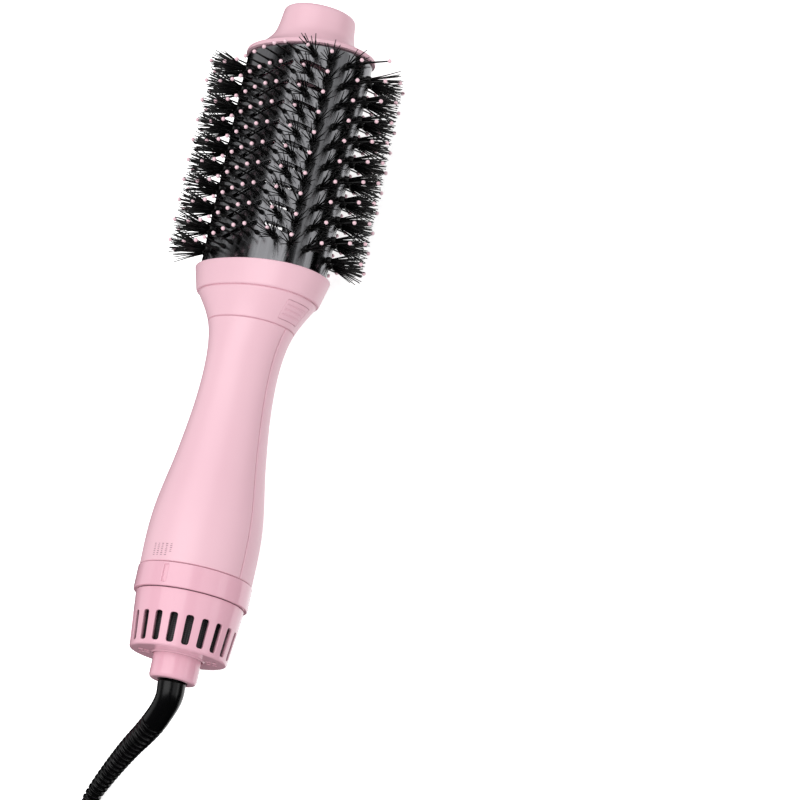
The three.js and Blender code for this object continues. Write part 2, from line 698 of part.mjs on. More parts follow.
// Raised towards the head until the band and the lowest pins touch the table together.
const pinReach = BARREL_THIN + PIN_LENGTH;
const pinStation = FIRST_ROW + wave(-PIN_PITCH / 2);
brush.rotation.x = Math.atan2(pinReach - BAND_RADIUS, pinStation - GRILLE_TOP);
brush.updateMatrixWorld(true);
const reach = new THREE.Box3().setFromObject(brush, true);
const middle = reach.getCenter(new THREE.Vector3());
brush.position.set(-middle.x, -middle.y, -reach.min.z);

const cord = new THREE.Group();
cord.position.y = brush.position.y;
cord.add(
  piece('cord_sleeve', cordSleeve(), BLACK_RUBBER),
  piece('mains_cord', cordTube(LEAD_ROUTE, 14), BLACK_RUBBER),
  piece('cord_coil', cordCoil(), BLACK_RUBBER),
  piece('cord_end', cordTube([
    [TAIL_FROM, PLUG_Y, COIL_HEIGHT - CORD_RADIUS - 0.3],
    [TAIL_FROM + 4, PLUG_Y, PLUG_HEIGHT + 0.3],
    [PLUG_FROM - GAP, PLUG_Y, PLUG_HEIGHT],
  ], 4), BLACK_RUBBER),
  piece('plug_body', plugBody(), BLACK_RUBBER),
  piece('plug_blade_left', plugBlade(1), BRASS),
  piece('plug_blade_right', plugBlade(-1), BRASS),
);

const hotAirBrush = new THREE.Group();
hotAirBrush.add(brush, cord);
export default hotAirBrush;
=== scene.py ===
"""The looks of a hot air brush: its casing, oval bristle head and cord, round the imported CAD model.

Lengths are in millimetres in the brush's own frame: x across the wide face of the head, a station
counted along the axis from just below the tail boss, and a height out of the upper wide face.
"""

import json
import math
import random

import bmesh
import bpy
from mathutils import Matrix, Vector


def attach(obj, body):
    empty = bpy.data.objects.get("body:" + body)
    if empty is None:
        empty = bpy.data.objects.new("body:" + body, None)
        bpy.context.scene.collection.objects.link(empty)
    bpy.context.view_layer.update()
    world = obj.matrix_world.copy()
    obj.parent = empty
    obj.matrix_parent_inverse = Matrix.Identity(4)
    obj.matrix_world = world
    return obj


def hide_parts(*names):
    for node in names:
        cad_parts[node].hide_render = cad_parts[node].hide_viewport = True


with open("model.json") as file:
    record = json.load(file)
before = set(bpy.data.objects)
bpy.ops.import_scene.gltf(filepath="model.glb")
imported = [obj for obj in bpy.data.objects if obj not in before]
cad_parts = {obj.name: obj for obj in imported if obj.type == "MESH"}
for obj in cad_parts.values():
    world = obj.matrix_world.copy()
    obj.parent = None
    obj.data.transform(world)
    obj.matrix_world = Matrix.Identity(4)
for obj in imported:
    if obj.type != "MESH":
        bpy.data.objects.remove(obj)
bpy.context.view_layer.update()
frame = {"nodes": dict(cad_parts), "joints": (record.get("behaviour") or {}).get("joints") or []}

MM = 0.001
TAU = 2 * math.pi

# ---- Driving dimensions, as in the CAD model ----

GAP = 0.3
WALL = 2.2
BOSS_END = 1.2
GRILLE_END = 12.4
GRILLE_TOP = 38
BAND_TOP = 49.2
SHELL_TOP = 166.4
NECK_TOP = 180
NECK_WALL = 2
RELEASE_STATION = 173
COLLAR_TOP = 191.6
HEAD_SEAT = 189.6
BARREL_TOP = 295.7
CAP_TOP = 318.2
BOSS_RADIUS = 10.75
BAND_RADIUS = 25.8
BARREL_WIDE = 32
BARREL_THIN = 22
BARREL_WALL = 1.2
FAN_STATION = 68
CASING = [  # stations, with half the width and half the thickness
    (49.5, 25.4, 25.4), (75, 24.9, 24.9), (105, 20.1, 20.1), (131, 17.15, 17.15),
    (152, 17.1, 16.9), (166.4, 20.7, 18.2), (180, 29.8, 22),
]
ROWS = 10
ROW_PITCH = 9.7
FIRST_ROW = 200.6
WAVE_HEIGHT = 3.6
WAVE_LENGTH = 52
PIN_FEET = (2.275, 6.825, 11.375)  # along the surface from the middle of the upper face
TUFT_FEET = (20, 27.8, 35.6)
PIN_LENGTH = 13
SIDE_PIN_LENGTH = 17.5
BALL_RADIUS = 0.95
TUFT_LENGTH = 16.3
SLOT_WIDTH = 2.1
GRILLE_SLOTS = 20
HANDLE_TURN = 3.4
SELECTOR_START = 12.5
CORD_RADIUS = 3.1


# ---- The brush's frame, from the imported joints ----

def joint(name):
    return next(j for j in frame["joints"] if j["name"] == name)


ACROSS = Vector((1, 0, 0))
AXIS = Vector(joint("head_pull_off")["axis"])
OUT = Vector((0, -AXIS.z, AXIS.y))
TAIL_END = Vector(joint("fan_spin")["pos_m"]) - FAN_STATION * MM * AXIS


def at(x, station, height):
    return TAIL_END + MM * (x * ACROSS + station * AXIS + height * OUT)


def on_table(point):
    """A point of the cord's route: x, y from station 0, height above the table."""
    x, y, z = point
    return Vector((x * MM, TAIL_END.y + y * MM, z * MM))


# ---- Materials ----

def srgb(red, green, blue):
    """A colour from its 0 to 255 screen values."""
    def linear(value):
        share = value / 255
        return share / 12.92 if share <= 0.04045 else ((share + 0.055) / 1.055) ** 2.4
    return (linear(red), linear(green), linear(blue), 1)


def fill(node, values):
    for name, value in values.items():
        node.inputs[name].default_value = value


class Finish:
    """A node material with helpers for the textures that vary it."""

    def __init__(self, name, color, roughness, metallic=0.0, coat=0.0):
        self.material = bpy.data.materials.new(name)
        self.material.use_nodes = True
        self.nodes = self.material.node_tree.nodes
        self.links = self.material.node_tree.links
        self.shader = self.nodes["Principled BSDF"]
        self.color = color
        fill(self.shader, {"Base Color": color, "Roughness": roughness, "Metallic": metallic,
                           "Coat Weight": coat, "Coat Roughness": 0.08})
        self.place = self.nodes.new("ShaderNodeTexCoord").outputs["Object"]

    def add(self, kind, values, source, socket="Vector"):
        """A new node with those values, with the source linked to its socket."""
        node = self.nodes.new(kind)
        fill(node, values)
        self.links.new(source, node.inputs[socket])
        return node

    def stretched(self, scale):
        return self.add("ShaderNodeMapping", {"Scale": scale}, self.place).outputs["Vector"]

    def noise(self, scale, detail=3.0, place=None):
        values = {"Scale": scale, "Detail": detail}
        return self.add("ShaderNodeTexNoise", values, place or self.place).outputs["Fac"]

    def ranged(self, value, low, high):
        """The middle of a texture's range, spread from low to high."""
        values = {"From Min": 0.3, "From Max": 0.7, "To Min": low, "To Max": high}
        return self.add("ShaderNodeMapRange", values, value, "Value").outputs["Result"]

    def tint(self, value, other):
        """The colour, mixed with another by a texture's value."""
        mix = self.nodes.new("ShaderNodeMix")
        mix.data_type = "RGBA"
        mix.inputs["A"].default_value = self.color
        mix.inputs["B"].default_value = other
        self.links.new(value, mix.inputs["Factor"])
        self.links.new(mix.outputs["Result"], self.shader.inputs["Base Color"])

    def rough(self, value, low, high):
        self.links.new(self.ranged(value, low, high), self.shader.inputs["Roughness"])

    def bump(self, value, depth, strength):
        values = {"Strength": strength, "Distance": depth}
        bump = self.add("ShaderNodeBump", values, value, "Height")
        self.links.new(bump.outputs["Normal"], self.shader.inputs["Normal"])


def plastic(name, color, shade, roughness, coat=0.0, grain=1400.0, depth=0.00002):
    """Moulded plastic: a fine skin, faint clouds in its colour, and uneven polish."""
    finish = Finish(name, srgb(*color), roughness, coat=coat)
    finish.tint(finish.ranged(finish.noise(18, 2), 0, 1), srgb(*shade))
    finish.rough(finish.noise(60), roughness * 0.9, roughness * 1.12)
    finish.bump(finish.noise(grain, 2), depth, 0.35)
    return finish.material


def drawn_metal(name, color, roughness, shade=None):
    """Metal with lengthwise drawing marks."""
    finish = Finish(name, srgb(*color), roughness, metallic=1.0)
    marks = finish.noise(900, 4, finish.stretched((1, 0.02, 1)))
    if shade:
        finish.tint(finish.ranged(marks, 0, 1), srgb(*shade))
    finish.rough(marks, roughness * 0.7, roughness * 1.35)
    finish.bump(marks, 0.00001, 0.25)
    return finish.material


def mesh_cloth(name):
    """Fine black filter mesh: two sets of threads, dark holes between them."""
    finish = Finish(name, srgb(30, 30, 32), 0.6)
    values = {"Scale": 1100, "Randomness": 0.0}
    threads = finish.add("ShaderNodeTexVoronoi", values, finish.place).outputs["Distance"]
    finish.tint(finish.ranged(threads, 0, 1), srgb(70, 70, 73))
    finish.bump(threads, 0.0002, 0.8)
    return finish.material


PINK_SATIN = plastic("pink_satin", (238, 194, 206), (236, 190, 203), 0.36)
PINK_GLOSS = plastic("pink_gloss", (236, 184, 199), (234, 180, 196), 0.16, coat=0.3)
PINK_BUTTON = plastic("pink_button", (237, 191, 204), (235, 187, 201), 0.38)
MARKS = plastic("grey_print", (168, 128, 142), (158, 120, 134), 0.5)
BARREL_BLACK = drawn_metal("barrel_black", (138, 138, 141), 0.17, (127, 127, 130))
BRISTLE = plastic("bristle_nylon", (7, 7, 8), (12, 12, 13), 0.34)
BALL_TIP = plastic("ball_tip", (250, 214, 224), (248, 208, 219), 0.3)
BLACK_PLASTIC = plastic("black_plastic", (34, 34, 36), (28, 28, 30), 0.45)
CREAM = plastic("cream_plastic", (232, 226, 210), (226, 219, 202), 0.5)
RUBBER = plastic("black_rubber", (9, 9, 10), (6, 6, 7), 0.26, grain=2200.0)
FILTER = mesh_cloth("filter_mesh")
STEEL = drawn_metal("steel", (190, 192, 196), 0.3)
BRASS = drawn_metal("brass", (214, 178, 96), 0.28)
MICA = plastic("mica", (183, 156, 108), (160, 128, 84), 0.7, grain=300.0, depth=0.0002)
NICHROME = drawn_metal("nichrome", (138, 128, 120), 0.45)
BOARD = plastic("board", (44, 107, 62), (36, 92, 52), 0.5)


# ---- Meshes ----

class Shape:
    """Corners and faces gathered into one mesh; every face has a material's number."""

    def __init__(self):
        self.corners = []
        self.faces = []
        self.finishes = []

    def ring(self, points):
        first = len(self.corners)
        self.corners.extend(points)
        return list(range(first, len(self.corners)))

    def face(self, corners, finish=0):
        self.faces.append(corners)
        self.finishes.append(finish)

    def bridge(self, one, other, finish=0, closed=True):
        count = len(one)
        for a in range(count if closed else count - 1):
            b = (a + 1) % count
            self.face((one[a], one[b], other[b], other[a]), finish)

    def skin(self, loops, closed=True):
        """A ring through each loop of points, and the faces from each ring to the next."""
        rings = [self.ring(points) for points in loops]
        for one, other in zip(rings, rings[1:]):
            self.bridge(one, other, closed=closed)
        return rings

    def lids(self, rings):
        """A face over the first ring and one over the last."""
        self.face(rings[0][::-1])
        self.face(rings[-1])

    def build(self, name, materials, weld=True):
        data = bpy.data.meshes.new(name)
        data.from_pydata(self.corners, [], self.faces)
        data.polygons.foreach_set("material_index", self.finishes)
        for material in materials:
            data.materials.append(material)
        if weld:
            work = bmesh.new()
            work.from_mesh(data)
            bmesh.ops.remove_doubles(work, verts=work.verts, dist=2e-6)
            bmesh.ops.dissolve_degenerate(work, edges=work.edges, dist=1e-7)
            bmesh.ops.recalc_face_normals(work, faces=work.faces)
            work.to_mesh(data)
            work.free()
        data.shade_smooth()
        piece = bpy.data.objects.new(name, data)
        bpy.context.scene.collection.objects.link(piece)
        if weld:
            even = piece.modifiers.new("even_shading", "WEIGHTED_NORMAL")
            even.weight = 90
        return piece

    def made(self, name, materials, body, slot, *nodes, weld=True):
        return finished(self.build(name, materials, weld), body, slot, *nodes)


def finished(piece, body, slot, *nodes):
    """The piece rides on its body and stands for those CAD nodes; slot is not used."""
    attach(piece, body)
    if nodes:
        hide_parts(*nodes)
    return piece


def squareness(wide, thin):
    """The power of an oval's formula: 2 is an ellipse."""
    return 2 + 0.65 * (1 - thin / wide)


def oval(wide, thin, turn):
    """A point and the way out, on an oval that squares up as it flattens; turn is from +x."""
    power = squareness(wide, thin)
    c, s = math.cos(turn), math.sin(turn)
    x = wide * math.copysign(abs(c) ** (2 / power), c)
    z = thin * math.copysign(abs(s) ** (2 / power), s)
    slope_x = math.copysign(abs(x / wide) ** (power - 1) / wide, c)
    slope_z = math.copysign(abs(z / thin) ** (power - 1) / thin, s)
    size = math.hypot(slope_x, slope_z)
    return x, z, slope_x / size, slope_z / size


def on_oval(wide, thin, turn, station, depth=0):
    """The point of an oval at that turn, or that depth below it."""
    x, z, out_x, out_z = oval(wide, thin, turn)
    return at(x - depth * out_x, station, z - depth * out_z)


def rounded(rows, steps=5):
    """A profile of (station, wide, thin, corner size), its corners turned into short curves."""
    points = [Vector(row[:3]) for row in rows]
    result = [points[0]]
    for index in range(1, len(rows) - 1):
        corner, size = points[index], rows[index][3] if len(rows[index]) > 3 else 0
        if not size:
            result.append(corner)
            continue
        ends = []
        for other in (points[index - 1], points[index + 1]):
            way = other - corner
            ends.append(corner + way * min(size / way.length, 0.49))
        for step in range(steps + 1):
            t = step / steps
            result.append(ends[0] * (1 - t) ** 2 + corner * 2 * t * (1 - t) + ends[1] * t ** 2)
    return result + [points[-1]]


def flowing(rows, steps):
    """A smooth curve through profile points."""
    points = [Vector(row[:3]) for row in rows]
    line = [2 * points[0] - points[1], *points, 2 * points[-1] - points[-2]]
    result = []
    for a, b, c, d in zip(line, line[1:], line[2:], line[3:]):
        for step in range(steps):
            t = step / steps
            result.append(0.5 * (2 * b + (c - a) * t + (2 * a - 5 * b + 4 * c - d) * t ** 2
                                 + (3 * b - a - 3 * c + d) * t ** 3))
    return result + [points[-1]]


def lathe(shape, profile, sides):
    """A closed profile turned round the axis; a profile point on the axis is a pole."""
    rings = []
    for station, wide, thin in profile:
        if wide < 1e-6:
            rings.append(shape.ring([at(0, station, 0)]))
            continue
        rings.append(shape.ring(
            [on_oval(wide, thin, TAU * side / sides, station) for side in range(sides)]))
    for one, other in zip(rings, rings[1:] + rings[:1]):
        if len(one) == 1 or len(other) == 1:
            pole, ring = (one, other) if len(one) == 1 else (other, one)
            for a in range(len(ring)):
                shape.face((pole[0], ring[a], ring[(a + 1) % len(ring)]))
        else:
            shape.bridge(one, other)


def slopes(samples):
    """Slopes at each sample for a smooth curve, with no bend at its two ends."""
    def slope(one, other):
        return (other[1] - one[1]) / (other[0] - one[0])

    inner = [slope(one, other) for one, other in zip(samples, samples[2:])]
    first, last = slope(samples[0], samples[1]), slope(samples[-2], samples[-1])
    return [1.5 * first - 0.5 * inner[0], *inner, 1.5 * last - 0.5 * inner[-1]]


def curve_value(samples, place):
    """The height at a place of the smooth curve through the samples."""
    grades = slopes(samples)
    index = max(i for i in range(len(samples) - 1) if i == 0 or samples[i][0] <= place)
    (a, low), (b, high) = samples[index], samples[index + 1]
    width = b - a
    t = (place - a) / width
    return ((2 * t ** 3 - 3 * t ** 2 + 1) * low + (t ** 3 - 2 * t ** 2 + t) * width * grades[index]
            + (3 * t ** 2 - 2 * t ** 3) * high + (t ** 3 - t ** 2) * width * grades[index + 1])


def casing_at(station, inset=0.0):
    """A profile point of the casing, or of an oval inside it."""
    wide = curve_value([(s, w) for s, w, _ in CASING], station)
    thin = curve_value([(s, t) for s, _, t in CASING], station)
    return Vector((station, wide - inset, thin - inset))


class Wall:
    """A wall round the axis: a turn in degrees from the upper face towards +x, a distance along
    its outer profile, and a depth below its outer face give a point."""

    def __init__(self, profile, thickness):
        self.profile = profile
        self.thickness = thickness
        self.lengths = [0.0]
        for one, other in zip(profile, profile[1:]):
            step = math.hypot(other[0] - one[0], other[1] - one[1])
            self.lengths.append(self.lengths[-1] + step)

    def distance(self, station):
        """How far along the profile that station comes last."""
        found = 0.0
        for one, other, start, end in zip(
                self.profile, self.profile[1:], self.lengths, self.lengths[1:]):
            if one[0] <= station <= other[0] and other[0] > one[0]:
                found = start + (end - start) * (station - one[0]) / (other[0] - one[0])
        return found

    def point(self, degrees, along, depth):
        index = 0
        while index < len(self.lengths) - 2 and self.lengths[index + 1] < along:
            index += 1
        one, other = self.profile[index], self.profile[index + 1]
        span = self.lengths[index + 1] - self.lengths[index]
        share = (along - self.lengths[index]) / span
        place = one.lerp(other, share)
        run, rise = (other[0] - one[0]) / span, (other[1] - one[1]) / span
        turn = math.radians(90 - degrees)
        return on_oval(place[1], place[2], turn, place[0] + depth * rise, depth * run)

    def grid(self, shape, turns, alongs, depth):
        shape.skin(([self.point(turn, along, depth) for turn in turns] for along in alongs),
                   closed=False)

    def both(self, shape, turns, alongs):
        self.grid(shape, turns, alongs, 0)
        self.grid(shape, turns, alongs, self.thickness)

    def rim(self, shape, turns, along):
        shape.skin(([self.point(turn, along, depth) for turn in turns]
                    for depth in (0, self.thickness)), closed=False)


def spaced(low, high, count):
    return [low + (high - low) * step / count for step in range(count + 1)]


def outline(half_x, half_y, radius, count_x, count_y):
    """A rounded rectangle about 0, 0, starting in the middle of its lowest, leftmost corner:
    count_x steps along each level side and count_y along each upright one."""
    corner = 2
    points = []
    sides = [(half_x, half_y, count_x), (half_y, half_x, count_y)] * 2
    for quarter, (along, away, count) in enumerate(sides):
        c, s = math.cos(math.radians(90 * quarter)), math.sin(math.radians(90 * quarter))

        def arc(centre, start, steps, away=away):
            angles = [math.radians(start + 45 * step / corner) for step in steps]
            return [(centre + radius * math.cos(angle), radius - away + radius * math.sin(angle))
                    for angle in angles]

        side = arc(radius - along, 225, range(corner))
        middle = count - 2 * corner
        side += [(x, -away) for x in spaced(radius - along, along - radius, max(middle, 1))]
        if middle == 0:
            side = side[:-1]
        side += arc(along - radius, 270, range(1, corner))
        points += [(c * x - s * y, s * x + c * y) for x, y in side]
    return points


def edge_of(low_x, high_x, low_y, high_y, count_x, count_y):
    """The outline of a cell, with as many steps as the hole in it."""
    level = spaced(low_x, high_x, count_x)
    upright = spaced(low_y, high_y, count_y)
    return ([(x, low_y) for x in level[:-1]] + [(high_x, y) for y in upright[:-1]]
            + [(x, high_y) for x in level[:0:-1]] + [(low_x, y) for y in upright[:0:-1]])


def pierced(shape, place, cell, counts, middle, half, radius, thickness, soft):
    """One cell of a wall with a hole right through it: place(x, y, depth) is a point of the
    wall. The hole's outer edge is softened."""
    edge = edge_of(*cell, *counts)

    def loop(grow, depth):
        points = outline(half[0] + grow, half[1] + grow, radius + grow, *counts)
        return [place(middle[0] + x, middle[1] + y, depth) for x, y in points]

    loops = [[place(x, y, 0) for x, y in edge], loop(soft * 1.6, 0)]
    for step in range(4):
        angle = math.pi / 2 * step / 3
        loops.append(loop(soft * (1 - math.sin(angle)), soft * (1 - math.cos(angle))))
    shape.skin([*loops, loop(0, thickness), [place(x, y, thickness) for x, y in edge]])


# ---- Camera ----

CAMERA_AZIMUTH = 66.18
CAMERA_ELEVATION = 44.87
CAMERA_ROLL = -58.4
CAMERA_DISTANCE = 1.983
CAMERA_LENS = 198.6
CAMERA_AIM = (0.0535, -0.0088, -0.0164)


def camera():
    data = bpy.data.cameras.new("camera")
    data.lens = CAMERA_LENS
    data.sensor_width = 36
    data.clip_end = 20
    eye = bpy.data.objects.new("camera", data)
    turn, rise = math.radians(CAMERA_AZIMUTH), math.radians(CAMERA_ELEVATION)
    back = Vector((math.sin(turn) * math.cos(rise), -math.cos(turn) * math.cos(rise),
                   math.sin(rise)))
    facing = (-back).to_track_quat("-Z", "Y").to_matrix()
    roll = Matrix.Rotation(math.radians(CAMERA_ROLL), 3, "Z")
    eye.matrix_world = Matrix.Translation(
        Vector(CAMERA_AIM) + CAMERA_DISTANCE * back) @ (facing @ roll).to_4x4()
    bpy.context.scene.collection.objects.link(eye)
    bpy.context.scene.camera = eye


# ---- Cord ----

SLEEVE_ROUTE = [
    (0, 0.9, 23.94), (-0.6, -6.2, 22.8), (-6, -13.6, 20.5), (-13.6, -20, 17.7),
    (-25, -27.3, 13.6), (-36.4, -35.7, 9.2), (-46.4, -44.6, 5.4), (-50.8, -50.2, 3.95),
]
LEAD_ROUTE = [
    (-51.05, -50.52, 3.87), (-55.6, -56.6, 3.3), (-61.2, -64.9, 3.15), (-66.3, -73.2, 3.15),
]
COIL_CENTRE = (-24, -114)
COIL_OUTER = 49.3
COIL_INNER = 26.3
COIL_ENTRY = 145
COIL_EXIT = 270
COIL_TURNS = 7
STEPS_PER_TURN = 16
LOWER_TURNS = 3.15
UPPER_TURNS = 9.45
PLUG_HEIGHT = 8.7
PLUG_FROM = COIL_CENTRE[0] + 33
PLUG_LINE = COIL_CENTRE[1] - COIL_OUTER
BLADE_OFFSET = 6.35


def smooth(share):
    """From 0 to 1 without a bend at either end."""
    share = min(max(share, 0), 1)
    return share * share * (3 - 2 * share)


def coil_route():
    """In along the table, round and inwards, up on to the second layer, and out again."""
    sweep = COIL_EXIT - COIL_ENTRY + 360 * COIL_TURNS
    count = round(sweep / 360 * STEPS_PER_TURN)
    inner_sweep, lead_in, lead_sweep, climb_sweep = 12, 7.5, 55, 180
    points = []
    for step in range(count + 1):
        swept = sweep * step / count
        half = abs(swept - sweep / 2)
        inwards = math.hypot(half, inner_sweep) / math.hypot(sweep / 2, inner_sweep)
        radius = COIL_INNER + (COIL_OUTER - COIL_INNER) * inwards
        radius += lead_in * (1 - smooth(swept / lead_sweep))
        angle = math.radians(COIL_ENTRY + swept)
        lift = smooth((swept - sweep / 2 + climb_sweep / 2) / climb_sweep)
        points.append((
            COIL_CENTRE[0] + radius * math.cos(angle),
            COIL_CENTRE[1] + radius * math.sin(angle),
            LOWER_TURNS + (UPPER_TURNS - LOWER_TURNS) * lift))
    return points


def spline(name, points, radius):
    """A smooth round tube through points."""
    data = bpy.data.curves.new(name, "CURVE")
    data.dimensions = "3D"
    data.resolution_u = 6
    data.bevel_depth = radius
    data.bevel_resolution = 7
    data.use_fill_caps = True
    line = data.splines.new("BEZIER")
    line.bezier_points.add(len(points) - 1)
    for knot, point in zip(line.bezier_points, points):
        knot.co = point
        knot.handle_left_type = knot.handle_right_type = "AUTO"
    piece = bpy.data.objects.new(name, data)
    bpy.context.scene.collection.objects.link(piece)
    return piece


def cord_line():
    """The cord's centre line, from its sleeve through the coil to the plug."""
    tail = [(COIL_CENTRE[0] + 12, PLUG_LINE, 9.3), (COIL_CENTRE[0] + 23, PLUG_LINE, 8.9),
            (PLUG_FROM + 1, PLUG_LINE, PLUG_HEIGHT)]
    return [on_table(point) for point in LEAD_ROUTE + coil_route() + tail]


def route_points(route, step):
    """Evenly spaced points along a smooth curve through a route, each with its place along it."""
    knots = flowing([tuple(1000 * v for v in on_table(point)) for point in route], 24)
    lengths = [0.0]
    for one, other in zip(knots, knots[1:]):
        lengths.append(lengths[-1] + (other - one).length)
    count = round(lengths[-1] / step)
    result = []
    for place in spaced(0, lengths[-1], count):
        index = max(i for i in range(len(knots) - 1) if lengths[i] <= place or i == 0)
        share = (place - lengths[index]) / (lengths[index + 1] - lengths[index])
        result.append((knots[index].lerp(knots[index + 1], min(share, 1)) * MM, place))
    return result


def along_line(shape, points, radii, sides, side):
    """A round solid that follows points, with a radius at each; its rings start at that side."""
    loops = []
    for index, (point, radius) in enumerate(zip(points, radii)):
        before, after = points[max(index - 1, 0)], points[min(index + 1, len(points) - 1)]
        tangent = (after - before).normalized()
        side = (side - tangent * side.dot(tangent)).normalized()
        other = tangent.cross(side)
        turns = [TAU * step / sides for step in range(sides)]
        loops.append([point + radius * MM * (math.cos(turn) * side + math.sin(turn) * other)
                      for turn in turns])
    shape.lids(shape.skin(loops))


SLEEVE_SMOOTH = 21  # of its length before the ribs start
RIB_PITCH = 2.85


def sleeve():
    """The strain relief: a plain root, then ribs that taper down to the cord."""
    points = route_points(SLEEVE_ROUTE, 0.2)
    total = points[-1][1]
    root, neck_in, taper, taper_start, rib_depth, end = 6.3, 0.6, 1.95, 0.3, 0.95, 0.8
    radii = []
    for _, place in points:
        radius = root - neck_in * smooth(place / 16)
        radius -= taper * max(place / total - taper_start, 0) / (1 - taper_start)
        if SLEEVE_SMOOTH < place < total - 1.2:
            phase = math.cos(TAU * (place - SLEEVE_SMOOTH) / RIB_PITCH)
            radius -= rib_depth * smooth(0.5 + 1.1 * phase)
        if place > total - end:
            radius -= 0.5 * ((place - total + end) / end) ** 2
        radii.append(radius)
    shape = Shape()
    along_line(shape, [point for point, _ in points], radii, 36, Vector((0.3, 0.2, 1)))
    return shape.made("strain_relief", [RUBBER], "cord", "black_rubber", "cord_sleeve")


def plug():
    """A moulded two-blade plug with a waist, a flat front and finger ridges."""
    rows = [
        (0, 4.3, 4.2), (2.5, 4.6, 4.4), (5, 5.3, 4.9), (8.5, 7.4, 6), (12, 9.8, 7.1),
        (15, 11.6, 8), (19, 12.6, 8.45), (26, 12.9, 8.6), (32, 13, 8.6),
    ]
    body = flowing(rows, 8)
    front = rounded([(32, 13, 8.6), (34, 12.9, 8.5, 1.1), (34, 10, 6)])
    shape = Shape()
    sides = 72
    loops = []
    for station, wide, thin in body + front[1:]:
        ridge = 0.35 * math.cos(TAU * station / 2.4) if 16 < station < 30 else 0
        points = []
        for side in range(sides):
            x, z, out_x, out_z = oval(wide, thin, TAU * side / sides)
            dent = max(ridge, 0) * (1 if abs(out_x) > 0.75 else 0)
            points.append(on_table((PLUG_FROM + station, PLUG_LINE + x - dent * out_x,
                                    PLUG_HEIGHT + z - dent * out_z)))
        loops.append(points)
    shape.lids(shape.skin(loops))
    return shape.made("plug_moulding", [RUBBER], "cord", "black_rubber", "plug_body")


def blade(side):
    """A flat blade with a rounded end and a hole through it, standing on its edge."""
    name = "left" if side > 0 else "right"
    start = PLUG_FROM + 34.3
    length, half, thickness, hole = 17, 3.15, 1.5, 1.5
    plain = length / 2
    shape = Shape()

    def place(x, y, depth):
        narrow = 0.18 * smooth((x - length + 2) / 2)
        level = (thickness / 2 - depth) * (1 - 2 * narrow)
        return on_table((start + x, PLUG_LINE + side * BLADE_OFFSET + level,
                         PLUG_HEIGHT + y * (1 - narrow)))

    cell = (plain, length, -half, half)
    pierced(shape, place, cell, (8, 8), (12.6, 0), (hole, hole), hole, thickness, soft=0.15)
    upright = spaced(-half, half, 8)
    for depth in (0, thickness):
        shape.skin(([place(x, y, depth) for y in upright] for x in (0, plain)), closed=False)
    level = [0, *spaced(plain, length, 8)]
    border = [(0, y) for y in upright[::-1]] + [(x, -half) for x in level[1:]]
    border += [(length, y) for y in upright[1:]] + [(x, half) for x in level[-2:0:-1]]
    shape.skin([place(x, y, depth) for x, y in border] for depth in (0, thickness))
    return shape.made(f"plug_pin_{name}", [BRASS], "cord", "brass", f"plug_blade_{name}")


def coil_tie():
    """A soft strap round the wound cord."""
    angle = math.radians(20)
    way = Vector((math.cos(angle), math.sin(angle)))
    middle = (COIL_OUTER + COIL_INNER) / 2 - 0.3
    reach = (COIL_OUTER - COIL_INNER) / 2 + CORD_RADIUS + 0.5
    foot, top = 0.05, UPPER_TURNS + CORD_RADIUS + 0.2
    section = outline(reach, (top - foot) / 2, 3.2, 12, 8)
    shape = Shape()
    loops = []
    for across, thick in ((-3, 0), (-3, 0.7), (-2.6, 0.9), (2.6, 0.9), (3, 0.7), (3, 0)):
        points = []
        for x, y in section:
            grow = 1 + thick / reach
            height = (top + foot) / 2 + y + (thick if y > 0 else 0) * (y / top * 2)
            radial = middle + x * grow
            flat = Vector(COIL_CENTRE) + way * radial + Vector((-way.y, way.x)) * across
            points.append(on_table((flat.x, flat.y, max(height, 0.03))))
        loops.append(points)
    rings = shape.skin(loops)
    shape.bridge(rings[-1], rings[0])
    return shape.made("cord_tie", [BLACK_PLASTIC], "cord", "black_plastic")


def cord():
    relief, moulding, tie = sleeve(), plug(), coil_tie()
    blades = [blade(1), blade(-1)]
    line = spline("cord_line", cord_line(), CORD_RADIUS * MM)
    line.data.materials.append(RUBBER)
    finished(line, "cord", "black_rubber", "mains_cord", "cord_coil", "cord_end")
    on_table(LEAD_ROUTE[0])


# ---- Handle ----

def shell(side):
    """Half of the casing, its edges at the parting line and at both ends softened."""
    name = "top" if side > 0 else "bottom"
    rim, part_gap = 0.45, 0.16
    low, high = BAND_TOP + GAP, SHELL_TOP - GAP
    stations = [low, low + 0.12, low + rim, *spaced(low + 1.2, high - 1.2, 90),
                high - rim, high - 0.12, high]
    sinks = {0: rim, 1: 0.16, len(stations) - 2: 0.12, len(stations) - 1: rim * 0.7}
    profile = [casing_at(station, sinks.get(index, 0)) for index, station in enumerate(stations)]
    shape = Shape()
    loops = []
    count = 72
    for station, wide, thin in profile:
        part = math.degrees(part_gap / wide)
        soft = math.degrees(0.5 / wide)
        turns = [part, part + soft * 0.3, part + soft]
        turns += spaced(part + 2 * soft, 180 - part - 2 * soft, count)
        turns += [180 - part - soft, 180 - part - soft * 0.3, 180 - part]
        depths = [rim, 0.13, 0] + [0] * (count + 1) + [0, 0.13, rim]
        outer, inner = [], []
        for turn, depth in zip(turns, depths):
            angle = math.radians(side * turn - HANDLE_TURN)
            outer.append(on_oval(wide, thin, angle, station, depth))
            inner.append(on_oval(wide - WALL, thin - WALL, angle, station))
        loops.append(outer + inner[::-1])
    rings = shape.skin(loops)
    for ring in (rings[0], rings[-1]):
        middle = len(ring) // 2
        shape.bridge(ring[:middle], ring[middle:][::-1], closed=False)
    shape.made(f"casing_{name}", [PINK_SATIN], "handle", "pink_satin", f"handle_{name}_shell")


WINDOW_LOW, WINDOW_HIGH = 167.1, 178  # stations of the part of the neck round a button


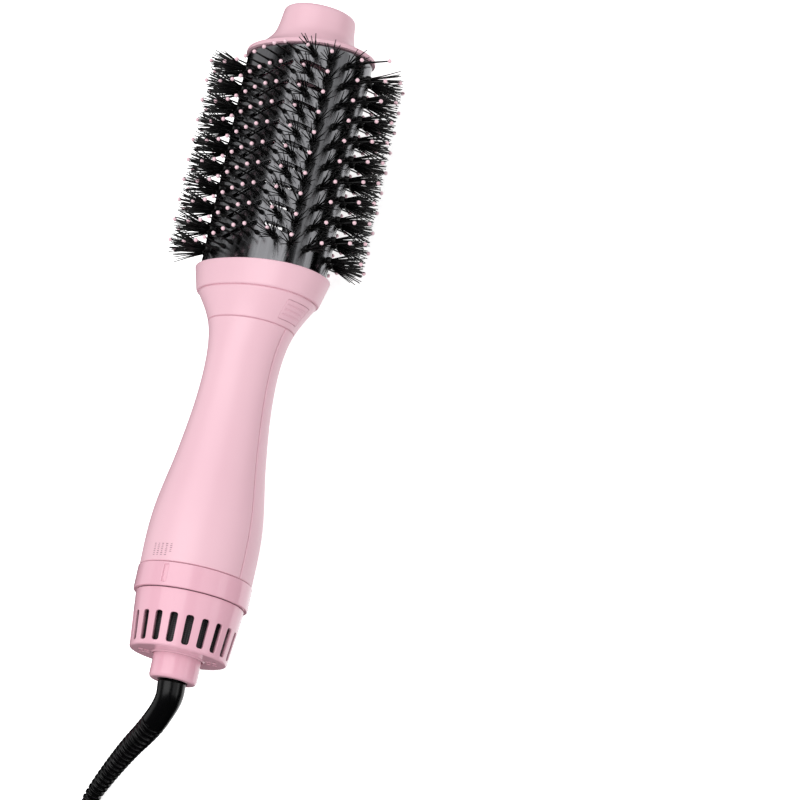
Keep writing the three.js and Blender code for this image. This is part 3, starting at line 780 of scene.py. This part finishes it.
def neck():
    """The ring between the casing and the collar, with a window for each release button."""
    low, high = SHELL_TOP, NECK_TOP - GAP
    stations = [low, low + 0.1, low + 0.4, *spaced(low + 1, high, 14)]
    sinks = {0: 0.4, 1: 0.12}
    profile = [casing_at(station, sinks.get(index, 0)) for index, station in enumerate(stations)]
    wall = Wall(profile, NECK_WALL)
    shape = Shape()
    first, last = wall.distance(WINDOW_LOW), wall.distance(WINDOW_HIGH)
    window = 25  # degrees each way
    for side in (1, -1):
        middle = 90 * side

        # The window's walls run straight across the brush, the way the button moves.
        def place(x, y, depth, side=side, middle=middle):
            if abs(x) < window and first < y < last:
                return wall.point(middle + x, y, 0) - side * depth * MM * ACROSS
            return wall.point(middle + x, y, depth)

        centre = wall.distance(RELEASE_STATION)
        pierced(shape, place, (-window, window, first, last), (16, 12), (0, centre),
                (18.9, 5.05), 1.3, NECK_WALL, soft=0.12)
        plain = spaced(middle + window, middle + 180 - window, 64)
        wall.both(shape, plain, spaced(first, last, 12))
    turns = []
    for middle in (90, -90):
        turns += spaced(middle - window, middle + window, 16)[:-1]
        turns += spaced(middle + window, middle + 180 - window, 64)[:-1]
    turns.append(turns[0] + 360)
    wall.both(shape, turns, [d for d in wall.lengths if d < first - 0.05] + [first])
    wall.both(shape, turns, [last] + [d for d in wall.lengths if d > last + 0.05])
    # A lip below the ring closes the seam above the casing a little under its surface.
    lip = [[wall.point(turn, 0, 0) for turn in turns]]
    for station, sink in ((low, 0.55), (low - GAP + 0.02, 0.55), (low - GAP + 0.02, 1.8)):
        _, wide, thin = casing_at(station, sink)
        lip.append([on_oval(wide, thin, math.radians(90 - turn), station) for turn in turns])
    lip.append([wall.point(turn, 0, NECK_WALL) for turn in turns])
    shape.skin(lip, closed=False)
    wall.rim(shape, turns, wall.lengths[-1])
    shape.made("neck", [PINK_SATIN], "handle", "pink_satin", "neck_ring")


def release(side):
    """A release button: a plate that follows the neck, with three finger grooves."""
    name = "right" if side > 0 else "left"
    half_x, half_y, radius = 18.6, 4.9, 1.2
    wall = Wall([casing_at(station) for station in spaced(166.8, 179.4, 24)], NECK_WALL)
    centre = wall.distance(RELEASE_STATION)
    count = 40
    shape = Shape()
    loops = []
    for depth, shrink in ((2.2, 0), (0.3, 0), (0.08, 0.05), (0, 0.25)):
        points = outline(half_x - shrink * 2, half_y - shrink, radius, 20, 12)
        loops.append([wall.point(side * 90 + x, centre + y, 0) - side * depth * MM * ACROSS
                      for x, y in points])
    shape.face(shape.skin(loops)[0][::-1])

    def groove(x, y):
        near = min(abs(y - place) for place in (-2.4, 0, 2.4))
        within = 1 - smooth((abs(x) - 13) / 2.5)
        return 0.4 * within * (1 - smooth(near / 0.6))

    # The face is a grid that is squeezed into the rounded outline.
    grid = []
    for step_y in range(count + 1):
        v = 2 * step_y / count - 1
        row = []
        for step_x in range(count + 1):
            u = 2 * step_x / count - 1
            x = u * (half_x - 0.5) * (1 - 0.012 * v ** 8)
            y = v * (half_y - 0.25)
            row.append(wall.point(side * 90 + x, centre + y, groove(x, y)))
        grid.append(row)
    shape.skin(grid, closed=False)
    shape.made(f"release_{name}", [PINK_BUTTON], f"release_{name}", "pink_button",
               f"release_button_{name}")


def collar_ring():
    shape = Shape()
    profile = rounded([
        (NECK_TOP, 26.2, 19), (NECK_TOP, 30.7, 22.7, 1.1), (COLLAR_TOP, 34.3, 24.3, 0.7),
        (COLLAR_TOP, 32.7, 22.7, 0.4), (HEAD_SEAT, 32.7, 22.7), (HEAD_SEAT, 26.2, 19),
    ])
    lathe(shape, profile, 160)
    shape.made("collar", [PINK_SATIN], "handle", "pink_satin", "head_collar")


SQUARE = ((-1, -1), (1, -1), (1, 1), (-1, 1))


def setting_marks():
    """Five columns of short printed dashes above the selector, where each setting is named."""
    shape = Shape()
    top, spacing, columns_apart = 57.2, 0.85, 5.2
    for column in range(5):
        for dash in range(5 if column == 0 else 7):
            centre = math.radians(SELECTOR_START + 0.2 - columns_apart * column)
            station = top - spacing * dash
            _, radius, _ = casing_at(station)
            half = 0.55 if (dash + column) % 3 else 0.38
            loops = []
            for out in (radius - 0.1, radius + 0.02):
                corners = [(centre + x * half / radius, station + 0.15 * y) for x, y in SQUARE]
                loops.append([at(out * math.sin(swing), y, out * math.cos(swing))
                              for swing, y in corners])
            shape.lids(shape.skin(loops))
    shape.made("setting_marks", [MARKS], "handle", "pink_satin")


# ---- Tail ----

def boss():
    shape = Shape()
    inner, flange_low, flange_high = BOSS_END + 4.5, 19, 20.6
    profile = rounded([
        (inner, 6.8, 6.8), (BOSS_END, 6.8, 6.8, 0.4), (BOSS_END, BOSS_RADIUS, BOSS_RADIUS, 2.2),
        (GRILLE_END - 0.6, BOSS_RADIUS, BOSS_RADIUS), (flange_low, BOSS_RADIUS, BOSS_RADIUS),
        (flange_low, 15, 15), (flange_high, 15, 15), (flange_high, 9.3, 9.3), (inner, 9.3, 9.3),
    ])
    lathe(shape, profile, 96)
    shape.made("boss", [PINK_GLOSS], "handle", "pink_gloss", "tail_boss")


END_HOLES = (6, 7, 16, 17)  # the slots that have small holes in the grille's end beside them


def grille():
    """The air intake: upright slots round its side and small holes in its end."""
    root = BOSS_RADIUS + GAP
    profile = rounded([
        (GRILLE_END - 0.5, root, root), (GRILLE_END - 0.5, root + 0.7, root + 0.7, 0.3),
        (GRILLE_END, root + 1.1, root + 1.1, 0.3), (GRILLE_END, 21.9, 21.9, 1.9),
        (GRILLE_END + 2.2, 22.1, 22.1), (27.8, 23.45, 23.45), (GRILLE_TOP, 24.4, 24.4, 0.35),
        (GRILLE_TOP, 23.2, 23.2),
    ], 8)
    wall = Wall(profile, 1.6)
    shape = Shape()
    low, high = wall.distance(14), wall.distance(28.1)
    pitch = 360 / GRILLE_SLOTS
    slot_low, slot_high = wall.distance(14.25), wall.distance(27.4)
    per_cell = 8
    end_low, end_high = 1.9, 7.3  # the holed part of its end, along the profile

    def cell(middle, around, place_low, place_high, rows, hole, corner, soft):
        def place(x, y, depth):
            return wall.point(middle + math.degrees(x / around), y, depth)

        half = math.radians(pitch / 2) * around
        pierced(shape, place, (-half, half, place_low, place_high), (per_cell, rows),
                (0, (place_low + place_high) / 2), hole, corner, wall.thickness, soft)

    for index in range(GRILLE_SLOTS):
        start = pitch * index + HANDLE_TURN
        slot = (1.7, (slot_high - slot_low) / 2)
        cell(start + pitch / 2, 22.6, low, high, 14, slot, 1.15, 0.22)
        if index in END_HOLES:
            split = (end_low + end_high) / 2
            for first, last in ((end_low, split), (split, end_high)):
                cell(start + pitch / 2, 15, first, last, 6, (1.1, 0.95), 0.5, 0.2)
        else:
            wall.both(shape, spaced(start, start + pitch, per_cell),
                      spaced(end_low, end_high, 12))
    turns = [HANDLE_TURN + turn for turn in spaced(0, 360, GRILLE_SLOTS * per_cell)]
    lengths = wall.lengths
    wall.both(shape, turns, [*[d for d in lengths if d < end_low - 0.05], end_low])
    wall.both(shape, turns, [end_high, *[d for d in lengths if end_high + 0.05 < d < low], low])
    wall.both(shape, turns, [high, *[d for d in lengths if d > high]])
    wall.rim(shape, turns, 0)
    wall.rim(shape, turns, lengths[-1])
    shape.made("grille", [PINK_GLOSS], "handle", "pink_gloss", "intake_grille")


def band():
    """The selector ring, with a short upright groove as its marker."""
    low, high = GRILLE_TOP + GAP, BAND_TOP
    radius = BAND_RADIUS
    lip = high + GAP - 0.03  # just under the casing's end, so that the seam is shallow
    profile = rounded([
        (low, 24.2, 24.2), (low, radius, radius, 0.7), (high, radius, radius, 0.55),
        (high, 24.6, 24.6), (lip, 24.6, 24.6),
    ])
    wall = Wall(profile, 1.4)
    shape = Shape()
    inner = 22.95
    half = 8  # degrees each way, round the groove
    first, last = wall.distance(low + 0.75), wall.distance(high - 0.62)

    def place(x, y, depth):
        return wall.point(SELECTOR_START + math.degrees(x / radius), y, depth)

    width = math.radians(half) * radius
    counts = (8, 10)
    middle = (first + last) / 2 + 0.25
    cell = edge_of(-width, width, first, last, *counts)
    loops = [[place(x, y, 0) for x, y in cell]]
    for grow, depth in ((0.5, 0), (0.3, 0.02), (0.1, 0.15), (0, 0.4), (-0.1, 0.75), (-0.3, 0.85)):
        points = outline(1.15 + grow, 4 + grow, 0.5 + grow, *counts)
        loops.append([place(x, middle + y, depth) for x, y in points])
    shape.face(shape.skin(loops)[-1])
    plain = spaced(SELECTOR_START + half, SELECTOR_START + 360 - half, 150)
    wall.grid(shape, plain, spaced(first, last, 10), 0)
    turns = spaced(SELECTOR_START - half, SELECTOR_START + half, 8)[:-1] + plain
    wall.grid(shape, turns, [d for d in wall.lengths if d < first] + [first], 0)
    wall.grid(shape, turns, [last] + [d for d in wall.lengths if d > last], 0)
    ends = []
    for distance, station in ((0, low), (wall.lengths[-1], lip)):
        loops = [[wall.point(turn, distance, 0) for turn in turns],
                 [on_oval(inner, inner, math.radians(90 - turn), station) for turn in turns]]
        ends.append(shape.skin(loops, closed=False)[1])
    shape.bridge(*ends, closed=False)
    shape.made("selector_ring", [PINK_GLOSS], "selector", "pink_gloss", "selector_band")


# ---- Head ----

def wave(x):
    """How far the slots and rows swing along the axis."""
    return WAVE_HEIGHT * math.sin(TAU * x / WAVE_LENGTH) if abs(x) < WAVE_LENGTH / 2 else 0


def barrel_turn(x):
    """The turn at which the barrel's oval has that x."""
    power = squareness(BARREL_WIDE, BARREL_THIN)
    return math.acos(math.copysign((abs(x) / BARREL_WIDE) ** (power / 2), x))


def barrel():
    """The heated tube: wavy air slots right through both wide faces, plain narrow sides."""
    low, high = HEAD_SEAT + GAP, BARREL_TOP
    edge = 28.05
    # Each span across a face has its start, end and steps, and its slot's middle and half length.
    spans = [(-edge, -11.65, 12, -19.85, 6.55), (-11.65, 11.65, 16, 0, 10),
             (11.65, edge, 12, 19.85, 6.55)]
    first, last = FIRST_ROW, FIRST_ROW + ROW_PITCH * (ROWS - 1)
    below, above = spaced(low, first, 5), spaced(last, high, 4)
    shape = Shape()
    steps = 4
    level = []
    for start, end, count, _, _ in spans:
        level += spaced(start, end, count)[:-1]
    level.append(edge)

    def plain(place, across, *stretches):
        """Both sides of the wall along those stretches, and the tube's rims at both ends."""
        for depth in (0, BARREL_WALL):
            for ys in stretches:
                shape.skin(([place(x, y, depth) for x in across] for y in ys), closed=False)
        for y in (low, high):
            shape.skin(([place(x, y, depth) for x in across] for depth in (0, BARREL_WALL)),
                       closed=False)

    for face in (1, -1):
        def place(x, y, depth, face=face):
            share = min(max((y - low) / (first - low), 0), 1) if y < first else \
                min(max((high - y) / (high - last), 0), 1)
            return on_oval(BARREL_WIDE, BARREL_THIN, face * barrel_turn(x),
                           y + wave(x) * share, depth)

        for row in range(ROWS - 1):
            bottom = first + ROW_PITCH * row
            for start, end, count, middle, half in spans:
                pierced(shape, place, (start, end, bottom, bottom + ROW_PITCH), (count, steps),
                        (middle, bottom + ROW_PITCH / 2), (half, SLOT_WIDTH / 2),
                        SLOT_WIDTH / 2 - 0.02, BARREL_WALL, soft=0.25)
        plain(place, level, below, above)

    def narrow(angle, y, depth):
        return on_oval(BARREL_WIDE, BARREL_THIN, angle, y, depth)

    rows = spaced(first, last, steps * (ROWS - 1))
    turn = barrel_turn(edge)
    for side in (0, math.pi):
        plain(narrow, [side + t for t in spaced(-turn, turn, 28)], below + rows[1:] + above[1:])
    shape.made("heated_barrel", [BARREL_BLACK], "head", "barrel_black", "barrel")


def surface_foot(distance):
    """A foot on the upper right quarter of the oval: (x, height) and the way out."""
    steps = 2000
    before = (0, BARREL_THIN)
    walked = 0
    for step in range(1, steps + 1):
        foot = oval(BARREL_WIDE, BARREL_THIN, math.pi / 2 * (1 - step / steps))
        walked += math.hypot(foot[0] - before[0], foot[1] - before[1])
        if walked >= distance:
            break
        before = foot[:2]
    return foot


def ball(shape, centre):
    """A ball tip, in the second of the row's materials."""
    radius, sides, levels, finish = BALL_RADIUS * MM, 10, 6, 1
    rings = []
    for level in range(1, levels):
        tilt = math.pi * level / levels
        rings.append(shape.ring([
            centre + radius * Vector((
                math.sin(tilt) * math.cos(TAU * a / sides),
                math.sin(tilt) * math.sin(TAU * a / sides), math.cos(tilt)))
            for a in range(sides)]))
    up = Vector((0, 0, radius))
    poles = shape.ring([centre + up, centre - up])
    for one, other in zip(rings, rings[1:]):
        shape.bridge(one[::-1], other[::-1], finish)
    for a in range(sides):
        b = (a + 1) % sides
        shape.face((poles[0], rings[0][a], rings[0][b]), finish)
        shape.face((poles[1], rings[-1][b], rings[-1][a]), finish)


def pin(shape, foot, way, length):
    """A tapered pin whose length counts the ball on its tip."""
    tip = foot + way * ((length - BALL_RADIUS) * MM)
    points = [foot - way * 0.8 * MM, foot + way * 0.9 * MM, foot + way * 1.5 * MM,
              foot.lerp(tip, 0.3), tip]
    along_line(shape, points, [1.15, 1.1, 0.72, 0.5, 0.34], 8, AXIS)
    ball(shape, tip)


FILAMENTS = 18
FILAMENT_SPREAD = 0.4
GOLDEN_TURN = math.pi * (3 - math.sqrt(5))


def tuft(shape, foot, way, draw):
    """A round plinth and a fan of straight filaments that spread from it."""
    along_line(shape, [foot + way * rise * MM for rise in (-0.9, 0.9, 1.5, 1.8)],
               [1.75, 1.7, 1.35, 0.8], 12, AXIS)
    aside = way.cross(AXIS).normalized()
    first = draw.uniform(0, TAU)
    for index in range(FILAMENTS):
        angle = first + GOLDEN_TURN * index + draw.uniform(-0.2, 0.2)
        lean = math.sqrt((index + 0.5) / FILAMENTS)
        sideways = math.cos(angle) * aside + math.sin(angle) * AXIS
        root = foot + way * 1.2 * MM + sideways * 0.7 * lean * MM
        heading = (way + sideways * FILAMENT_SPREAD * lean).normalized()
        reach = (TUFT_LENGTH - 1.2) * draw.uniform(0.9, 1.02) * MM
        middle = root + heading * reach * 0.5 - sideways * 0.25 * lean * MM
        along_line(shape, [root, middle, root + heading * reach], [0.28, 0.26, 0.19], 5, AXIS)


# How far along the surface each foot is, with the length of its pin and whether it has a tuft.
BRISTLES = [
    *((distance, PIN_LENGTH, False) for distance in PIN_FEET),
    (TUFT_FEET[0], PIN_LENGTH, True), (TUFT_FEET[1], 17, True), (TUFT_FEET[2], 16.5, True),
]


def bristle_row(row, draw):
    """A wavy row over both wide faces, and a pin on each narrow side half way to the next."""
    shape = Shape()
    station = FIRST_ROW + ROW_PITCH * row
    for distance, length, tufted in BRISTLES:
        x, z, out_x, out_z = surface_foot(distance)
        for side, face in ((1, 1), (1, -1), (-1, -1), (-1, 1)):
            foot = at(side * x, station + wave(side * x), face * z)
            way = side * out_x * ACROSS + face * out_z * OUT
            pin(shape, foot, way, length)
            if tufted:
                tuft(shape, foot, way, draw)
    for side in (1, -1):
        foot = at(side * BARREL_WIDE, station + ROW_PITCH / 2, 0)
        pin(shape, foot, side * ACROSS, SIDE_PIN_LENGTH)
    shape.made(f"bristles_{row + 1:02d}", [BRISTLE, BALL_TIP], "head", "bristle_nylon",
               f"bristle_row_{row + 1:02d}", weld=False)


def cap():
    """The cool tip: a flange that flares up into a round finger grip."""
    low = BARREL_TOP + GAP
    wide, thin = BARREL_WIDE + 1.1, BARREL_THIN + 1.1
    plug_wide, plug_thin = BARREL_WIDE - BARREL_WALL - GAP, BARREL_THIN - BARREL_WALL - GAP
    plug_end, roof = low - 5, CAP_TOP - 2.4
    flange, grip = (low + 2.6, 29.9, 21.8), (low + 18.5, 17, 16.9)
    lip = rounded([
        (plug_end, plug_wide, plug_thin), (low, plug_wide, plug_thin), (low, wide, thin, 0.5),
        (low + 2, wide - 0.2, thin - 0.2, 0.8), flange])
    flare = flowing([
        flange, (low + 4, 26.2, 20.4), (low + 6.2, 22.4, 19.1), (low + 9.5, 19.2, 18),
        (low + 14, 17.7, 17.3), grip], 6)
    top = rounded([grip, (CAP_TOP, 16.5, 16.5, 2.6), (CAP_TOP, 6, 6), (CAP_TOP, 0, 0)], 8)
    inside = [
        (roof, 0, 0), (roof, 12, 12), (low + 10, 14, 14),
        (plug_end, plug_wide - 1.6, plug_thin - 1.6)]
    shape = Shape()
    lathe(shape, [*lip, *flare[1:], *top[1:], *(Vector(row) for row in inside)], 160)
    shape.made("cool_tip", [PINK_SATIN], "head", "pink_satin", "end_cap")


# ---- The CAD pieces that stay, with better materials ----

KEPT = [
    (STEEL, ["handle_screw_left", "handle_screw_right", "swivel_retainer", "motor_body",
        "motor_shaft", "thermal_fuse", "release_spring_left", "release_spring_right"]),
    (FILTER, ["intake_filter"]),
    (BLACK_PLASTIC, ["switch_body", "fan_duct", "ioniser_module", "outlet_nozzle", "air_guide",
        "swivel_bush"]),
    (CREAM, ["switch_lever", "fan_impeller", "thermostat"]),
    (BOARD, ["control_board"]),
    (RUBBER, ["motor_mount"]),
    (MICA, ["heat_shield", "heater_board_wide", "heater_board_upper", "heater_board_lower"]),
    (NICHROME, ["heating_coil"]),
    (PINK_SATIN, ["head_base"]),
]


def give_materials():
    for material, names in KEPT:
        for name in names:
            slots = frame["nodes"][name].data.materials
            slots.clear()
            slots.append(material)


# ---- Stage ----

FLOOR_GLOW = 0.8
SKY_GLOW = 0.75
LIGHT_AIM = 200  # the station that every lamp faces


def floor():
    shape = Shape()
    size = 4
    shape.face(shape.ring([Vector((x * size, y * size, 0)) for x, y in SQUARE]))
    finish = Finish("pale_floor", (0.9, 0.9, 0.9, 1), 0.7)
    finish.rough(finish.noise(4), 0.65, 0.75)
    fill(finish.shader, {"Emission Color": (1, 1, 1, 1), "Emission Strength": FLOOR_GLOW})
    ground = shape.build("floor", [finish.material], weld=False)
    ground.visible_diffuse = False
    ground.visible_glossy = False


def light(name, turn, distance, size, glow, rise=14, seen=True):
    """A rectangular lamp: its turn is about the brush's axis from OUT towards ACROSS, and size
    is across and along the brush; glow is its brightness over that of a white surface. A lamp
    that is seen shows in reflections and lights nothing else; any other does the opposite."""
    turn, rise = math.radians(turn), math.radians(rise)
    around = math.sin(turn) * ACROSS + math.cos(turn) * OUT
    way = math.cos(rise) * around + math.sin(rise) * AXIS
    aim = at(0, LIGHT_AIM, 0)
    data = bpy.data.lights.new(name, "AREA")
    data.shape = "RECTANGLE"
    data.size, data.size_y = size
    data.energy = glow * math.pi * size[0] * size[1]
    lamp = bpy.data.objects.new(name, data)
    aside = way.cross(AXIS).normalized()
    along = way.cross(aside)
    turned = Matrix((aside, along, way)).transposed()
    lamp.matrix_world = Matrix.Translation(aim + distance * way) @ turned.to_4x4()
    lamp.visible_glossy = seen
    lamp.visible_diffuse = not seen
    bpy.context.scene.collection.objects.link(lamp)


def stage():
    floor()
    world = bpy.data.worlds.new("studio")
    world.use_nodes = True
    fill(world.node_tree.nodes["Background"], {"Color": (1, 1, 1, 1), "Strength": SKY_GLOW})
    bpy.context.scene.world = world
    world.cycles_visibility.glossy = False
    bpy.context.scene.view_settings.view_transform = "Standard"
    light("top_panel", 7, 1, (1.13, 1.5), 1.3)
    light("side_panel", 73, 1, (0.58, 1.5), 0.6)
    light("low_side_panel", 101, 1, (0.36, 1.5), 1.1)
    light("under_panel", 182, 1, (1.2, 1.5), 1.3)
    light("edge_panel", -66, 1, (0.66, 1.5), 0.5)
    light("key", 14, 1.4, (1.1, 1.1), 2.4, rise=-12, seen=False)


# ---- Everything ----

camera()
cord()
shell(1)
shell(-1)
neck()
release(1)
release(-1)
collar_ring()
setting_marks()
boss()
grille()
band()
barrel()
random_draw = random.Random(7)
for row_number in range(ROWS):
    bristle_row(row_number, random_draw)
cap()
give_materials()
stage()
